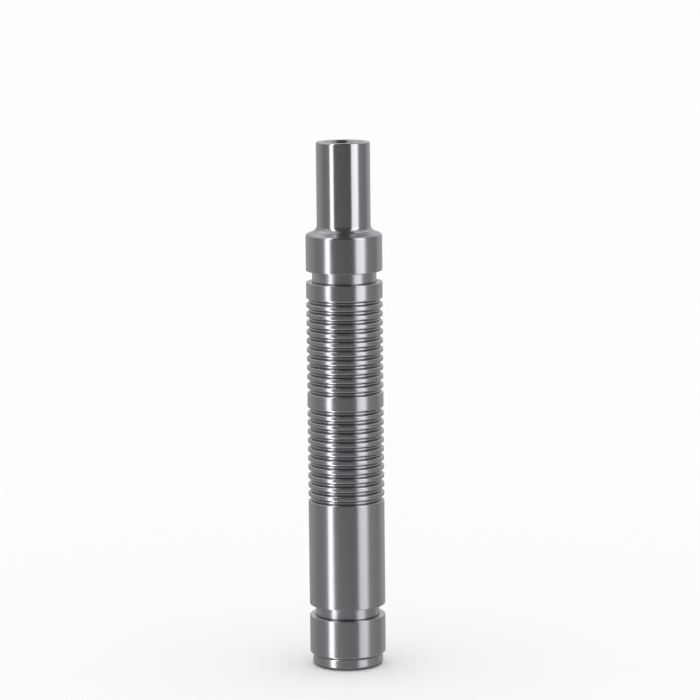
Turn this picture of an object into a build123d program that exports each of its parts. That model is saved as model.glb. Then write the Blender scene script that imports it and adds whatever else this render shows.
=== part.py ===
from build123d import *

import math
import os

# A stainless steel safety razor handle, turned from one bar and ribbed for grip. It stands on
# its foot with its axis along +Z. The razor's head seats on the end of the neck, and the head's
# screw goes down into the tapped hole there.

# Driving dimensions, in millimetres and degrees. Heights follow one another up the handle.

BODY_DIA = 12.0
NECK_DIA = 8.45

# Foot: a short land set back from the body, which a 45 degree bevel joins to the ring above it
FOOT_SETBACK = 0.425
FOOT_HEIGHT = 1.75
RING_HEIGHT = 6.35
STANDING_EDGE_BEVEL = 0.45

# Square relief grooves, one above the foot ring and one below the collar
RELIEF_WIDTH = 1.75
RELIEF_DEPTH = 0.95

# Plain bands between the grooves
PLAIN_GRIP_HEIGHT = 16.68
MID_BAND_HEIGHT = 2.25
UPPER_BAND_HEIGHT = 2.54
COLLAR_HEIGHT = 5.73

# Two zones of grip grooves with flat floors and sloping walls
GROOVES_PER_ZONE = 11
GROOVE_PITCH = 1.415
GROOVE_DEPTH = 0.43
GROOVE_FLOOR_WIDTH = 0.4
GROOVE_WALL_ANGLE = 25.0

# Shoulder: a gentle cone between a rounded edge and the fillet that runs up into the neck
SHOULDER_RISE = 0.7
SHOULDER_EDGE_RADIUS = 0.55
NECK_FILLET_RADIUS = 1.15
NECK_HEIGHT = 13.68
NECK_RIM_BEVEL = 0.15

# Tapped hole for the head's M5 screw, drilled and countersunk. The thread stays out of the
# solid, so the wall is the tap drill's.
THREAD_DIA = 5.0
THREAD_PITCH = 0.8
COUNTERSINK_OVERSIZE = 1.2
COUNTERSINK_ANGLE = 90.0
DRILLED_DEPTH = 13.0
DRILL_POINT_ANGLE = 118.0

BODY_RADIUS = BODY_DIA / 2
NECK_RADIUS = NECK_DIA / 2
TAP_DRILL_RADIUS = (THREAD_DIA - THREAD_PITCH) / 2
COUNTERSINK_RADIUS = (THREAD_DIA + COUNTERSINK_OVERSIZE) / 2


def ring_groove(bottom, depth, floor_width, wall_angle):
    """Corners of a groove round the body as (radius, height, rounding), and its top."""
    wall_rise = depth * math.tan(math.radians(wall_angle))
    floor_top = bottom + wall_rise + floor_width
    top = floor_top + wall_rise
    corners = [
        (BODY_RADIUS, bottom, 0),
        (BODY_RADIUS - depth, bottom + wall_rise, 0),
        (BODY_RADIUS - depth, floor_top, 0),
        (BODY_RADIUS, top, 0),
    ]
    return corners, top


def relief_groove(bottom):
    """Corners of a relief groove that starts at a height, and the height of its top."""
    return ring_groove(bottom, RELIEF_DEPTH, RELIEF_WIDTH, 0)


def rib_zone(bottom):
    """Corners of a zone of grip grooves that starts at a height, and the height of its top."""
    corners = []
    for count in range(GROOVES_PER_ZONE):
        low = bottom + count * GROOVE_PITCH
        groove, top = ring_groove(low, GROOVE_DEPTH, GROOVE_FLOOR_WIDTH, GROOVE_WALL_ANGLE)
        corners += groove
    return corners, top


def outside_corners():
    """Corners of the outside from the standing face to the neck's rim."""
    foot_radius = BODY_RADIUS - FOOT_SETBACK
    lower_relief, height = relief_groove(FOOT_HEIGHT + RING_HEIGHT)
    lower_ribs, height = rib_zone(height + PLAIN_GRIP_HEIGHT)
    upper_ribs, height = rib_zone(height + MID_BAND_HEIGHT)
    upper_relief, height = relief_groove(height + UPPER_BAND_HEIGHT)
    shoulder = height + COLLAR_HEIGHT
    neck_foot = shoulder + SHOULDER_RISE
    top = neck_foot + NECK_HEIGHT
    return [
        (foot_radius - STANDING_EDGE_BEVEL, 0, 0),
        (foot_radius, STANDING_EDGE_BEVEL, 0),
        (foot_radius, FOOT_HEIGHT, 0),
        (BODY_RADIUS, FOOT_HEIGHT + FOOT_SETBACK, 0),
        *lower_relief,
        *lower_ribs,
        *upper_ribs,
        *upper_relief,
        (BODY_RADIUS, shoulder, SHOULDER_EDGE_RADIUS),
        (NECK_RADIUS, neck_foot, NECK_FILLET_RADIUS),
        (NECK_RADIUS, top - NECK_RIM_BEVEL, 0),
        (NECK_RADIUS - NECK_RIM_BEVEL, top, 0),
    ]


def roundings_that_fit(points, roundings):
    """Roundings of the inner points, made smaller where two of them would meet on a side."""
    vectors = [Vector(point) for point in points]
    sides = [end - start for start, end in zip(vectors, vectors[1:])]
    turns = [math.radians(before.get_angle(after)) for before, after in zip(sides, sides[1:])]
    reaches = [radius * math.tan(turn / 2) for radius, turn in zip(roundings, turns)]
    wanted = [before + after for before, after in zip([0, *reaches], [*reaches, 0])]
    shares = [min(1, side.length / reach) if reach else 1 for side, reach in zip(sides, wanted)]
    return [radius * min(pair) for radius, *pair in zip(roundings, shares, shares[1:])]


def turned_bar(corners):
    """The solid bar with everything that is turned on its outside."""
    top = corners[-1][1]
    points = [(0, 0), *[(radius, height) for radius, height, _ in corners], (0, top)]
    roundings = roundings_that_fit(points, [rounding for _, _, rounding in corners])
    outside = Plane.XZ * FilletPolyline(*points, radius=roundings)
    centre_line = Plane.XZ * Line((0, top), (0, 0))
    return revolve(make_face([outside, centre_line]), axis=Axis.Z)


def head_hole(top):
    """The tapped hole as drilled: countersunk mouth, tap drill's wall and drill point."""
    countersink_reach = COUNTERSINK_RADIUS - TAP_DRILL_RADIUS
    countersink_depth = countersink_reach / math.tan(math.radians(COUNTERSINK_ANGLE / 2))
    point_depth = TAP_DRILL_RADIUS / math.tan(math.radians(DRILL_POINT_ANGLE / 2))
    wall_top = top - countersink_depth
    wall_bottom = wall_top - DRILLED_DEPTH
    half_section = Polyline(
        (0, top),
        (COUNTERSINK_RADIUS, top),
        (TAP_DRILL_RADIUS, wall_top),
        (TAP_DRILL_RADIUS, wall_bottom),
        (0, wall_bottom - point_depth),
        close=True,
    )
    return revolve(make_face(Plane.XZ * half_section), axis=Axis.Z)


corners = outside_corners()
overall_length = corners[-1][1]
handle = turned_bar(corners) - head_hole(overall_length)
handle.label = "handle"

os.makedirs("parts", exist_ok=True)
export_step(handle, "parts/handle.step")
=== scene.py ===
"""Looks of a turned steel razor handle: true edges, screw thread, metal and studio."""

import math

import bpy
import numpy as np
from mathutils import Matrix, Vector


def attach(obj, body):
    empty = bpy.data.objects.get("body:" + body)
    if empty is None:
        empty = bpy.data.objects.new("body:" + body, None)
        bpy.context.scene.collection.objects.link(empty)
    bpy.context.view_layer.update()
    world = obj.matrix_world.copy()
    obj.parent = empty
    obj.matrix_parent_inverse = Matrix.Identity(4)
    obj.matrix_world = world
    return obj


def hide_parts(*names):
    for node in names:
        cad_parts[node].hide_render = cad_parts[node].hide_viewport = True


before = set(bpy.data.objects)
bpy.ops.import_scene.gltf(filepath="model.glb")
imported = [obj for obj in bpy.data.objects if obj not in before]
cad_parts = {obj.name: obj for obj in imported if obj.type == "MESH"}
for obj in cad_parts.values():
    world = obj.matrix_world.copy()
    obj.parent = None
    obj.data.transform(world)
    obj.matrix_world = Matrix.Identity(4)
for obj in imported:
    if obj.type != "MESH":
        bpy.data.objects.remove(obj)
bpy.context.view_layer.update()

MM = 0.001

# Turned sizes in millimetres, the same as the solid's. Heights follow one another up the handle.
BODY_RADIUS = 6.0
FOOT_RADIUS = 5.575
FOOT_HEIGHT = 1.75
RING_HEIGHT = 6.35
RELIEF_WIDTH = 1.75
RELIEF_DEPTH = 0.95
PLAIN_GRIP_HEIGHT = 16.68
MID_BAND_HEIGHT = 2.25
UPPER_BAND_HEIGHT = 2.54
COLLAR_HEIGHT = 5.73
SHOULDER_RISE = 0.7
NECK_RADIUS = 4.225
NECK_HEIGHT = 13.68
GROOVES_PER_ZONE = 11
GROOVE_PITCH = 1.415
GROOVE_DEPTH = 0.43
GROOVE_FLOOR_WIDTH = 0.4
GROOVE_WALL_ANGLE = math.radians(25)

# Radii of the corners in millimetres. All but the shoulder's two are only in this mesh.
STANDING_EDGE = 0.65
FOOT_CORNER = 0.12
RING_EDGE = 0.15
RELIEF_EDGE = 0.12
RELIEF_CORNER = 0.1
RIB_EDGE = 0.2
GROOVE_CORNER = 0.1
SHOULDER_EDGE = 0.55
NECK_FILLET = 1.15
NECK_RIM = 0.2
MOUTH_EDGE = 0.06
DRILL_EDGE = 0.1

# Polish and painted shade, from -1 where painted shade darkens a tight hollow corner's colour to 1
# on an edge that hands polish. The painted shade fades over HOLLOW_FADE millimetres. Hollow
# corners are tight under TIGHT_HOLLOW millimetres.
TIGHT_HOLLOW = 0.11
HOLLOW_FADE = 0.05
# Painted shade on the thread's roots and the countersink, half as dark as in a tight hollow corner
THREAD_ROOT_SHADE = -0.5

# Tapped hole in millimetres: an M5 thread that starts in a 90 degree countersink
THREAD_PITCH = 0.8
TAP_DRILL_RADIUS = 2.1
THREAD_DEPTH = 0.4
THREAD_ROOT_HALF = 0.05
THREAD_FLANK_RUN = THREAD_DEPTH * math.tan(math.radians(30))
THREAD_TURNS = 13
RUN_OUT_TURNS = 1.5
# Above its full depth the thread's last turn climbs this share of the countersink's cone
THREAD_ENTRY = 0.85
COUNTERSINK_RADIUS = 3.1
DRILLED_DEPTH = 13.0
DRILL_POINT_SLOPE = math.tan(math.radians(59))

# Mesh density, with smaller steps on the roundings from WIDE_ROUNDING millimetres up. A row under
# ON_AXIS millimetres in radius is a single point.
SEGMENTS = 128
ARC_STEP = math.radians(23)
WIDE_ROUNDING = 0.5
WIDE_ARC_STEP = math.radians(10)
ROWS_PER_TURN = 14
ON_AXIS = 1e-6

# Unrolled map: two strips side by side, which keep off the edges. The plain wall below the thread
# takes only PLAIN_WALL_LENGTH millimetres of it, because it needs no detail.
STRIP_MARGIN = 0.01
STRIP_WIDTH = 0.98
STRIP_LENGTH = 0.97
STRIP_END = 0.999
PLAIN_WALL_LENGTH = 0.2

# Looks of the steel, with distances in millimetres. Each fade runs from its first distance, where
# it has no effect, to its second: from the relief grooves' floor, and from the axis on the neck.
STEEL_COLOUR = (0.6, 0.597, 0.63, 1)
RELIEF_FLOOR_RADIUS = BODY_RADIUS - RELIEF_DEPTH
RELIEF_FADE = (0.4, 0.15)
NECK_FADE = (5.0, 4.3)
SMUDGES_PER_METRE = 180
BUMP_HEIGHT = 0.0005

# Floor and tent of cards round the handle, in metres and degrees, and how finely the cards are
# divided
FLOOR_HALF = 6.0
FLOOR_WHITE = 0.985
TENT_RADIUS = 0.45
TENT_BOTTOM = -0.6
TENT_TOP = 1.1
CARD_STEP = 3
CARD_LEVELS = 35
DISC_CORNERS = 48

# The photograph's camera, with its lens and sensor in millimetres and its place in metres
LENS = 159.7
SENSOR = 36
EYE = (0.00079, -0.4813, 0.12315)
PITCH = math.radians(81.4)
ROLL = math.radians(-0.583)


def ring_groove(bottom, depth, floor_width, wall_rise, edge, corner):
    """Corners of a groove round the body as (radius, height, rounding), and its top."""
    floor_top = bottom + wall_rise + floor_width
    top = floor_top + wall_rise
    corners = [
        (BODY_RADIUS, bottom, edge),
        (BODY_RADIUS - depth, bottom + wall_rise, corner),
        (BODY_RADIUS - depth, floor_top, corner),
        (BODY_RADIUS, top, edge),
    ]
    return corners, top


def relief_groove(bottom):
    """Corners of a square relief groove that starts at a height, and its top."""
    return ring_groove(bottom, RELIEF_DEPTH, RELIEF_WIDTH, 0, RELIEF_EDGE, RELIEF_CORNER)


def rib_zone(bottom):
    """Corners of a zone of grip grooves that starts at a height, and its top."""
    corners = []
    wall_rise = GROOVE_DEPTH * math.tan(GROOVE_WALL_ANGLE)
    for count in range(GROOVES_PER_ZONE):
        low = bottom + count * GROOVE_PITCH
        groove, top = ring_groove(
            low, GROOVE_DEPTH, GROOVE_FLOOR_WIDTH, wall_rise, RIB_EDGE, GROOVE_CORNER
        )
        corners += groove
    return corners, top


def outside_corners():
    """Corners from the middle of the standing face to the foot of the countersink."""
    lower_relief, height = relief_groove(FOOT_HEIGHT + RING_HEIGHT)
    lower_ribs, height = rib_zone(height + PLAIN_GRIP_HEIGHT)
    upper_ribs, height = rib_zone(height + MID_BAND_HEIGHT)
    upper_relief, height = relief_groove(height + UPPER_BAND_HEIGHT)
    shoulder = height + COLLAR_HEIGHT
    top = shoulder + SHOULDER_RISE + NECK_HEIGHT
    return [
        (0, 0, 0),
        (FOOT_RADIUS, 0, STANDING_EDGE),
        (FOOT_RADIUS, FOOT_HEIGHT, FOOT_CORNER),
        (BODY_RADIUS, FOOT_HEIGHT + BODY_RADIUS - FOOT_RADIUS, RING_EDGE),
        *lower_relief,
        *lower_ribs,
        *upper_ribs,
        *upper_relief,
        (BODY_RADIUS, shoulder, SHOULDER_EDGE),
        (NECK_RADIUS, shoulder + SHOULDER_RISE, NECK_FILLET),
        (NECK_RADIUS, top, NECK_RIM),
        (COUNTERSINK_RADIUS, top, MOUTH_EDGE),
        (TAP_DRILL_RADIUS, top - COUNTERSINK_RADIUS + TAP_DRILL_RADIUS, 0),
    ]


def rounded(corners):
    """Points of an outline with its corners rounded, as (point, outward direction, polish and
    painted shade).
    """
    at = [Vector(corner[:2]) for corner in corners]
    runs = [(end - start).normalized() for start, end in zip(at, at[1:])]
    outward = [Vector((run.y, -run.x)) for run in runs]
    outline = [(at[0], outward[0], 0)]
    for index in range(1, len(runs)):
        run, after, normal = runs[index - 1], runs[index], outward[index - 1]
        radius = corners[index][2]
        turn = math.atan2(run.cross(after), run.dot(after))
        side = math.copysign(radius, turn)
        reach = radius * math.tan(abs(turn) / 2)
        centre = at[index] - run * reach - side * normal
        # A tight hollow corner gets painted shade: its colour is darkened there and fades out
        # beside it
        shaded_hollow = side < 0 and radius < TIGHT_HOLLOW
        polished = side > 0 and radius < WIDE_ROUNDING
        if shaded_hollow:
            outline.append((at[index] - run * (reach + HOLLOW_FADE), normal, 0))
        steps = math.ceil(abs(turn) / (ARC_STEP if radius < WIDE_ROUNDING else WIDE_ARC_STEP))
        for step in range(steps + 1):
            turned = Matrix.Rotation(turn * step / steps, 2) @ normal
            polish_and_painted_shade = polished * math.sin(math.pi * step / steps) - shaded_hollow
            outline.append((centre + side * turned, turned, polish_and_painted_shade))
        if shaded_hollow:
            outline.append((at[index] + after * (reach + HOLLOW_FADE), outward[index], 0))
    return [*outline, (at[-1], outward[-1], 0)]


class Skin:
    """A skin of rows round the Z axis, in millimetres. Each row has a vertex per column, and its
    last vertex is its first one again unless it follows a screw thread."""

    def __init__(self):
        self.places, self.normals, self.along, self.polish_and_painted_shade = [], [], [], []
        self.faces, self.columns = [], []
        self.length = 0.0
        self.last = None

    def vertex(self, radius, column, height, normal=None, along=None, polish_and_painted_shade=0):
        angle = math.tau * column / SEGMENTS
        outward = (math.cos(angle), math.sin(angle))
        self.places.append((radius * outward[0], radius * outward[1], height))
        across, up = normal or (0, 0)
        self.normals.append((across * outward[0], across * outward[1], up))
        self.along.append(self.length if along is None else along)
        self.polish_and_painted_shade.append(polish_and_painted_shade)
        return len(self.places) - 1

    def row(self, radius, height, normal, polish_and_painted_shade):
        """A level row, at the surface length reached so far."""
        if radius < ON_AXIS:
            return [self.vertex(0, 0, height, normal)] * (SEGMENTS + 1)
        row = [
            self.vertex(radius, column, height, normal, polish_and_painted_shade=polish_and_painted_shade)
            for column in range(SEGMENTS)
        ]
        return [*row, row[0]]

    def face(self, vertices, columns):
        self.faces.append(vertices)
        self.columns.append(columns)

    def band(self, row, after, first=0, last=SEGMENTS):
        """Faces between a row and the one after it, with a point at either end of the skin."""
        for a in range(first, last):
            b = a + 1
            if row[a] == row[b]:
                self.face((row[a], after[b], after[a]), (a + 0.5, b, a))
            elif after[a] == after[b]:
                self.face((row[a], row[b], after[a]), (a, b, a + 0.5))
            else:
                self.face((row[a], row[b], after[b], after[a]), (a, b, b, a))

    def lathe(self, outline):
        """Level rows through the points of an outline. Returns the first and last of them."""
        first = before = None
        for point, normal, polish_and_painted_shade in outline:
            if before is not None:
                self.length += (point - before).length
            row = self.row(point.x, point.y, tuple(normal), polish_and_painted_shade)
            if first is None:
                first = row
            else:
                self.band(self.last, row)
            self.last, before = row, point
        return first, self.last

    def thread(self, mouth, wall_top):
        """The tapped wall from the countersink down to where the thread runs out. Its rows
        follow the thread, so the flanks stay straight. Joins it to the row at its mouth and
        returns a function that joins it to the row below."""
        cone_only = wall_top + THREAD_DEPTH
        bottom = cone_only - THREAD_TURNS * THREAD_PITCH
        mouth_height = self.places[mouth[0]][2]
        squeeze = THREAD_ENTRY * (mouth_height - cone_only) / THREAD_PITCH
        start = self.length
        top_row = THREAD_TURNS * ROWS_PER_TURN

        def spot(step, column):
            turns = step / ROWS_PER_TURN + column / SEGMENTS
            height = bottom + turns * THREAD_PITCH
            if height > cone_only:
                height = cone_only + (height - cone_only) * squeeze
            from_root = abs(step % ROWS_PER_TURN / ROWS_PER_TURN - 0.5) * THREAD_PITCH
            reach = (THREAD_ROOT_HALF + THREAD_FLANK_RUN - from_root) / THREAD_FLANK_RUN
            begun = min(1, (step // ROWS_PER_TURN + column / SEGMENTS) / RUN_OUT_TURNS)
            depth = THREAD_DEPTH * min(1, max(0, reach)) * begun * begun * (3 - 2 * begun)
            radius = TAP_DRILL_RADIUS + max(depth, height - wall_top)
            along = start + mouth_height - height
            # Painted shade: the thread's roots and the countersink are darkened, more with depth
            polish_and_painted_shade = THREAD_ROOT_SHADE * min(1, (radius - TAP_DRILL_RADIUS) / THREAD_DEPTH)
            return self.vertex(radius, column, height, along=along, polish_and_painted_shade=polish_and_painted_shade)

        rows = [
            [spot(step, column) for column in range(SEGMENTS)] for step in range(top_row + 1)
        ]
        for step, row in enumerate(rows):
            joins = step + ROWS_PER_TURN
            row.append(rows[joins][0] if joins <= top_row else spot(step, SEGMENTS))
        for upper, lower in zip(rows[:0:-1], rows[-2::-1]):
            self.band(upper, lower)

        top, pivot = rows[-1], mouth[1]
        self.band(mouth, top, first=1)
        step_up = [mouth[0], *[row[-1] for row in rows[: -ROWS_PER_TURN - 1 : -1]], top[0]]
        for upper, lower in zip(step_up, step_up[1:]):
            self.face((upper, pivot, lower), (0, 1, 0))
        self.face((top[0], pivot, top[1]), (0, 1, 1))
        self.length = start + mouth_height - bottom

        def join_below(below):
            last = SEGMENTS - 1
            self.band(rows[0], below, last=last)
            self.face((rows[0][last], rows[0][-1], below[last]), (last, SEGMENTS, last))
            step_down = [row[0] for row in rows[ROWS_PER_TURN::-1]] + [below[0]]
            for upper, lower in zip(step_down, step_down[1:]):
                self.face((upper, lower, below[last]), (SEGMENTS, SEGMENTS, last))

        return join_below, bottom

    def mesh(self, name):
        """The mesh in metres, with its own normals and an unrolled map in two strips."""
        mesh = bpy.data.meshes.new(name)
        mesh.from_pydata(np.array(self.places) * MM, [], self.faces)
        mesh.shade_smooth()
        mesh.normals_split_custom_set_from_vertices(self.normals)
        along = np.array(self.along) / self.length * 2
        corners = []
        for vertices, columns in zip(self.faces, self.columns):
            strip = int(min(along[list(vertices)]) >= STRIP_END)
            for vertex, column in zip(vertices, columns):
                across = (strip + STRIP_MARGIN + STRIP_WIDTH * column / SEGMENTS) / 2
                corners += [across, STRIP_MARGIN + STRIP_LENGTH * (along[vertex] - strip)]
        mesh.uv_layers.new(name="OFBake").uv.foreach_set("vector", corners)
        # The attribute holds edge polish and the painted shade of hollow corners and the thread
        mesh.attributes.new("polish_and_painted_shade", "FLOAT", "POINT").data.foreach_set("value", self.polish_and_painted_shade)
        return mesh


def turned_handle():
    """The whole handle as one closed skin."""
    corners = outside_corners()
    skin = Skin()
    _, mouth = skin.lathe(rounded(corners)[:-1])
    wall_top = corners[-1][1]
    join_below, thread_bottom = skin.thread(mouth, wall_top)
    wall_bottom = wall_top - DRILLED_DEPTH
    drilled = [
        (TAP_DRILL_RADIUS, thread_bottom, 0),
        (TAP_DRILL_RADIUS, wall_bottom, DRILL_EDGE),
        (0, wall_bottom - TAP_DRILL_RADIUS / DRILL_POINT_SLOPE, 0),
    ]
    skin.length += PLAIN_WALL_LENGTH
    below, _ = skin.lathe(rounded(drilled)[1:])
    join_below(below)
    handle = bpy.data.objects.new("turned_handle", skin.mesh("turned_handle"))
    bpy.context.scene.collection.objects.link(handle)
    return handle


def node_maker(tree):
    """A function that adds a node to a tree: its inputs are values or sockets to link."""

    def make(kind, inputs=(), output=0, **settings):
        node = tree.nodes.new("ShaderNode" + kind)
        for name, value in settings.items():
            setattr(node, name, value)
        for name, value in dict(inputs).items():
            if isinstance(value, bpy.types.NodeSocket):
                tree.links.new(value, node.inputs[name])
            else:
                node.inputs[name].default_value = value
        return node.outputs[output] if node.outputs else node

    return make


def new_material(name):
    material = bpy.data.materials.new(name)
    material.use_nodes = True
    material.node_tree.nodes.clear()
    return material, node_maker(material.node_tree)


def turned_steel():
    """Fine-turned stainless steel. Its marks run round the handle, so its gloss spreads along
    it, and everything varies with the distance from the axis and the height."""
    material, make = new_material("turned_steel")
    place = make("TexCoord", output="Object")
    x, y, height = make("SeparateXYZ", {0: place}).node.outputs
    flat = make("CombineXYZ", {"X": x, "Y": y})
    radius = make("VectorMath", {0: flat}, "Value", operation="LENGTH")
    section = make("CombineXYZ", {"X": radius, "Y": height})
    around = make("VectorMath", {0: flat}, operation="NORMALIZE")

    def marks(per_mm, wander, detail):
        """Streaks that run round the handle, and change slowly on the way round."""
        scaled = make("VectorMath", {0: section, "Scale": per_mm / MM}, operation="SCALE")
        drift = make("VectorMath", {0: around, "Scale": wander}, operation="SCALE")
        drift_x, drift_y, _ = make("SeparateXYZ", {0: drift}).node.outputs
        third = make("CombineXYZ", {"Z": drift_x})
        spot = make("VectorMath", {0: scaled, 1: third}, operation="ADD")
        return make(
            "TexNoise",
            {"Vector": spot, "W": drift_y, "Scale": 1, "Detail": detail},
            noise_dimensions="4D",
        )

    def ramp(value, start, end):
        """A factor that is 0 where the value is at the start and 1 where it is at the end."""
        return make("MapRange", {"Value": value, "From Min": start, "From Max": end})

    def mixed(factor, low, high):
        return make("MapRange", {"Value": factor, "To Min": low, "To Max": high})

    def total(first, second):
        return make("Math", {0: first, 1: second}, operation="ADD")

    fine = marks(per_mm=7.13, wander=3, detail=2)
    broad = marks(per_mm=0.6, wander=1.2, detail=3)
    smudges = make("TexNoise", {"Vector": place, "Scale": SMUDGES_PER_METRE, "Detail": 3})
    off_floor = make("Math", {0: radius, 1: RELIEF_FLOOR_RADIUS * MM}, operation="SUBTRACT")
    off_floor = make("Math", {0: off_floor}, operation="ABSOLUTE")
    in_relief = ramp(off_floor, RELIEF_FADE[0] * MM, RELIEF_FADE[1] * MM)
    on_neck = ramp(radius, NECK_FADE[0] * MM, NECK_FADE[1] * MM)
    # Edge polish and painted shade from the mesh: polished edges are smoother and a tenth lighter,
    # and painted shade
    # darkens tight hollow corners and the thread down to 0.27 of the steel's tone and makes them
    # rougher
    polish_and_painted_shade = make("Attribute", output="Fac", attribute_name="polish_and_painted_shade")
    hollow_shade = ramp(polish_and_painted_shade, 0.0, -1.0)

    roughness = mixed(fine, -0.01, 0.01)
    for factor, low, high in (
        (broad, 0.21, 0.27),
        (smudges, -0.015, 0.015),
        (in_relief, 0.0, 0.05),
        (on_neck, 0.0, -0.06),
        (hollow_shade, 0.0, 0.04),
        (polish_and_painted_shade, 0.0, -0.03),
    ):
        roughness = total(roughness, mixed(factor, low, high))
    tone = total(mixed(broad, 0.96, 1.02), mixed(fine, -0.01, 0.01))
    # Painted shade darkens the hollows, and polished edges are lighter
    for factor in (mixed(hollow_shade, 1.0, 0.27), mixed(polish_and_painted_shade, 1.0, 1.1)):
        tone = make("Math", {0: tone, 1: factor}, operation="MULTIPLY")
    grey = make("CombineColor", {0: tone, 1: tone, 2: tone})
    colour = make(
        "Mix",
        {"Factor": 1.0, "A": STEEL_COLOUR, "B": grey},
        "Result",
        data_type="RGBA",
        blend_type="MULTIPLY",
    )
    heights = total(fine, mixed(broad, 0, 0.6))
    bump = make("Bump", {"Height": heights, "Strength": 0.5, "Distance": BUMP_HEIGHT * MM})
    shader = make(
        "BsdfPrincipled",
        {
            "Base Color": colour,
            "Metallic": 1.0,
            "Roughness": roughness,
            "Anisotropic": 0.5,
            "Anisotropic Rotation": 0.25,
            "Normal": bump,
            "Tangent": make("Tangent", direction_type="RADIAL", axis="Z"),
        },
    )
    make("OutputMaterial", {"Surface": shader})
    return material


def floor():
    """A plain pale floor, which only the camera and plain light see."""
    corners = [
        (x * FLOOR_HALF, y * FLOOR_HALF, 0) for x, y in ((-1, -1), (1, -1), (1, 1), (-1, 1))
    ]
    mesh = bpy.data.meshes.new("floor")
    mesh.from_pydata(corners, [], [(0, 1, 2, 3)])
    material, make = new_material("pale_floor")
    paint = make("BsdfDiffuse", {"Color": (FLOOR_WHITE, FLOOR_WHITE, FLOOR_WHITE, 1)})
    make("OutputMaterial", {"Surface": paint})
    mesh.materials.append(material)
    ground = bpy.data.objects.new("floor", mesh)
    ground.visible_glossy = False
    bpy.context.scene.collection.objects.link(ground)


def glow_card(name, places, faces, glow):
    """A card that only reflections see, with a brightness at each of its corners."""
    mesh = bpy.data.meshes.new(name)
    mesh.from_pydata(places, [], faces)
    mesh.attributes.new("glow", "FLOAT", "POINT").data.foreach_set("value", glow)
    material, make = new_material(name)
    strength = make("Attribute", output="Fac", attribute_name="glow")
    make("OutputMaterial", {"Surface": make("Emission", {"Strength": strength})})
    mesh.materials.append(material)
    card = bpy.data.objects.new(name, mesh)
    card.visible_camera = card.visible_diffuse = card.visible_shadow = False
    card.visible_transmission = card.visible_volume_scatter = False
    bpy.context.scene.collection.objects.link(card)


def wall_card(name, turn, glow, fall):
    """Part of the tent's wall between two azimuths, counted from the camera to the right. Its
    light runs from glow's first value to its second, times fall's factor at each height."""
    columns = max(2, round(abs(turn[1] - turn[0]) / CARD_STEP) + 1)
    heights = np.linspace(TENT_BOTTOM, TENT_TOP, CARD_LEVELS)
    factors = np.interp(heights, *zip(*fall))
    places, lights = [], []
    for part in np.linspace(0, 1, columns):
        angle = math.radians(turn[0] + part * (turn[1] - turn[0]))
        x, y = TENT_RADIUS * math.sin(angle), -TENT_RADIUS * math.cos(angle)
        places += [(x, y, height) for height in heights]
        lights += list((glow[0] + part * (glow[1] - glow[0])) * factors)
    faces = [
        (a, a + CARD_LEVELS, a + CARD_LEVELS + 1, a + 1)
        for first in range(0, (columns - 1) * CARD_LEVELS, CARD_LEVELS)
        for a in range(first, first + CARD_LEVELS - 1)
    ]
    glow_card(name, places, faces, lights)


def disc_card(name, radius, height, glow):
    """A level round card."""
    places = [
        (radius * math.cos(angle), radius * math.sin(angle), height)
        for angle in np.linspace(0, math.tau, DISC_CORNERS, endpoint=False)
    ]
    glow_card(name, places, [tuple(range(DISC_CORNERS))], [glow] * DISC_CORNERS)


def lid(across, glow):
    """The tent's lid, which is dark in the middle and lighter towards both sides."""
    places = [(x, y, TENT_TOP) for x in across for y in (-TENT_RADIUS, TENT_RADIUS)]
    faces = [(a, a + 1, a + 3, a + 2) for a in range(0, len(places) - 2, 2)]
    glow_card("lid", places, faces, [light for light in glow for _ in range(2)])


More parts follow.
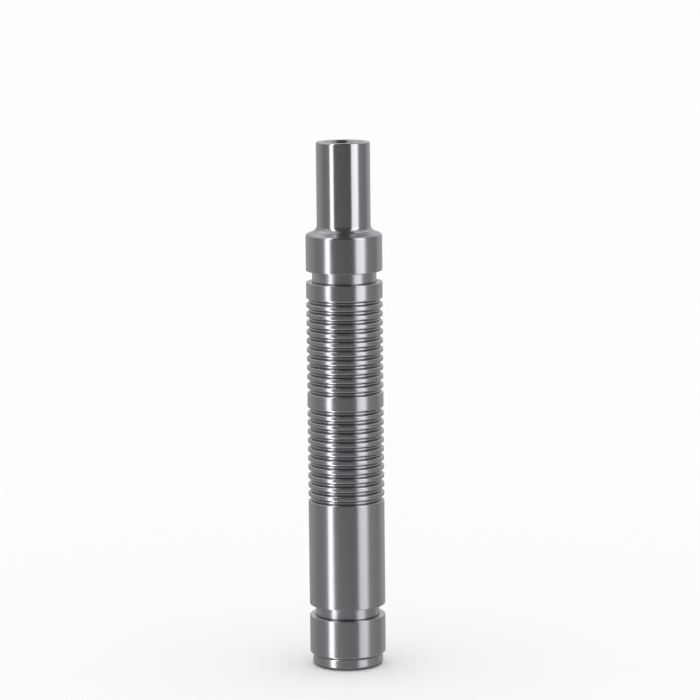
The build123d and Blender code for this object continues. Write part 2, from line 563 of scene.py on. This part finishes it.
def studio():
    """Grey tent walls, with a narrow softbox on the left, a wide one on the right and one behind.
    Each table holds the factors of a wall's light as (height in metres, factor)."""
    front = ((-0.6, 2.2), (-0.25, 1.7), (-0.17, 1.03), (0.15, 0.35), (1.1, 0.3))
    low = ((-0.6, 1.2), (-0.3, 1.4), (-0.17, 1.08), (0.15, 0.85))
    left = (*low, (0.35, 2.6), (1.1, 2.4))
    right = (*low, (0.4, 1.2), (0.7, 1.9), (1.1, 1.7))
    far = ((-0.6, 0.9), (-0.25, 0.85), (0.05, 1.1), (0.25, 1.2), (0.5, 2.1), (1.1, 1.9))
    back = (
        (-0.6, 0.6), (-0.15, 0.9), (0.0, 1.05), (0.15, 1.35),
        (0.35, 1.4), (0.5, 0.35), (1.1, 0.15),
    )
    behind = (
        (-0.6, 0.8), (0.02, 1.0), (0.08, 0.4), (0.15, 0.41),
        (0.35, 0.43), (0.5, 0.11), (1.1, 0.05),
    )
    soft = (
        (-0.6, 4.0), (-0.35, 3.6), (-0.22, 1.0), (0.12, 1.0),
        (0.25, 1.4), (0.45, 1.4), (0.7, 0.4), (1.1, 0.35),
    )
    wide = (
        (-0.6, 0.6), (-0.25, 0.5), (-0.08, 0.7), (0.0, 0.9), (0.05, 1.2),
        (0.35, 1.2), (0.6, 0.5), (0.8, 0.25), (1.1, 0.15),
    )
    wall_card("card_front", (-42.5, 35), (0.27, 0.2), front)
    wall_card("softbox_left", (-57.8, -42.3), (2.0, 2.0), soft)
    wall_card("card_left_near", (-75, -57.8), (0.24, 0.32), right)
    wall_card("card_left", (-95, -75), (0.25, 0.24), left)
    wall_card("card_left_far", (-125, -95), (0.36, 0.25), far)
    wall_card("card_back_left", (-168, -125), (0.42, 0.36), far)
    wall_card("softbox_back", (-190, -168), (1.4, 1.4), behind)
    wall_card("card_back", (-220, -190), (0.43, 0.43), back)
    wall_card("card_back_right", (125, 140), (0.38, 0.43), far)
    wall_card("card_right_far", (112, 125), (0.25, 0.38), far)
    wall_card("card_right", (70, 112), (0.3, 0.25), right)
    wall_card("softbox_right_near", (35, 61), (1.2, 1.5), wide)
    wall_card("softbox_right_far", (61, 70), (1.5, 0.35), wide)
    lid(across=(-0.45, -0.35, -0.15, 0.36, 0.43, 0.45), glow=(0.7, 0.6, 0.07, 0.07, 0.5, 0.6))
    disc_card("card_bottom", radius=TENT_RADIUS, height=TENT_BOTTOM, glow=0.3)
    # Reflections don't see the floor, so a grey disc is the contact shadow that the foot reflects
    disc_card("foot_shade", radius=1.12 * FOOT_RADIUS * MM, height=0.01 * MM, glow=0.16)


def plain_world():
    """Plain white light from all round, which is also the white behind the floor."""
    world = bpy.data.worlds.new("plain_world")
    world.use_nodes = True
    world.node_tree.nodes.clear()
    make = node_maker(world.node_tree)
    light = make("Background", {"Color": (1, 1, 1, 1), "Strength": 1.0})
    make("OutputWorld", {"Surface": light})
    bpy.context.scene.world = world


def camera():
    """The photograph's view: in front and a little above."""
    data = bpy.data.cameras.new("camera")
    data.sensor_width = SENSOR
    data.lens = LENS
    data.clip_start, data.clip_end = 0.01, 20
    eye = bpy.data.objects.new("camera", data)
    pitch = Matrix.Rotation(PITCH, 4, "X")
    roll = Matrix.Rotation(ROLL, 4, "Z")
    eye.matrix_world = Matrix.Translation(EYE) @ pitch @ roll
    bpy.context.scene.collection.objects.link(eye)
    bpy.context.scene.camera = eye


bpy.context.scene.view_settings.view_transform = "Standard"
camera()
plain_world()
floor()
studio()
handle = turned_handle()
handle.data.materials.append(turned_steel())
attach(handle, "root")
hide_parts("handle")
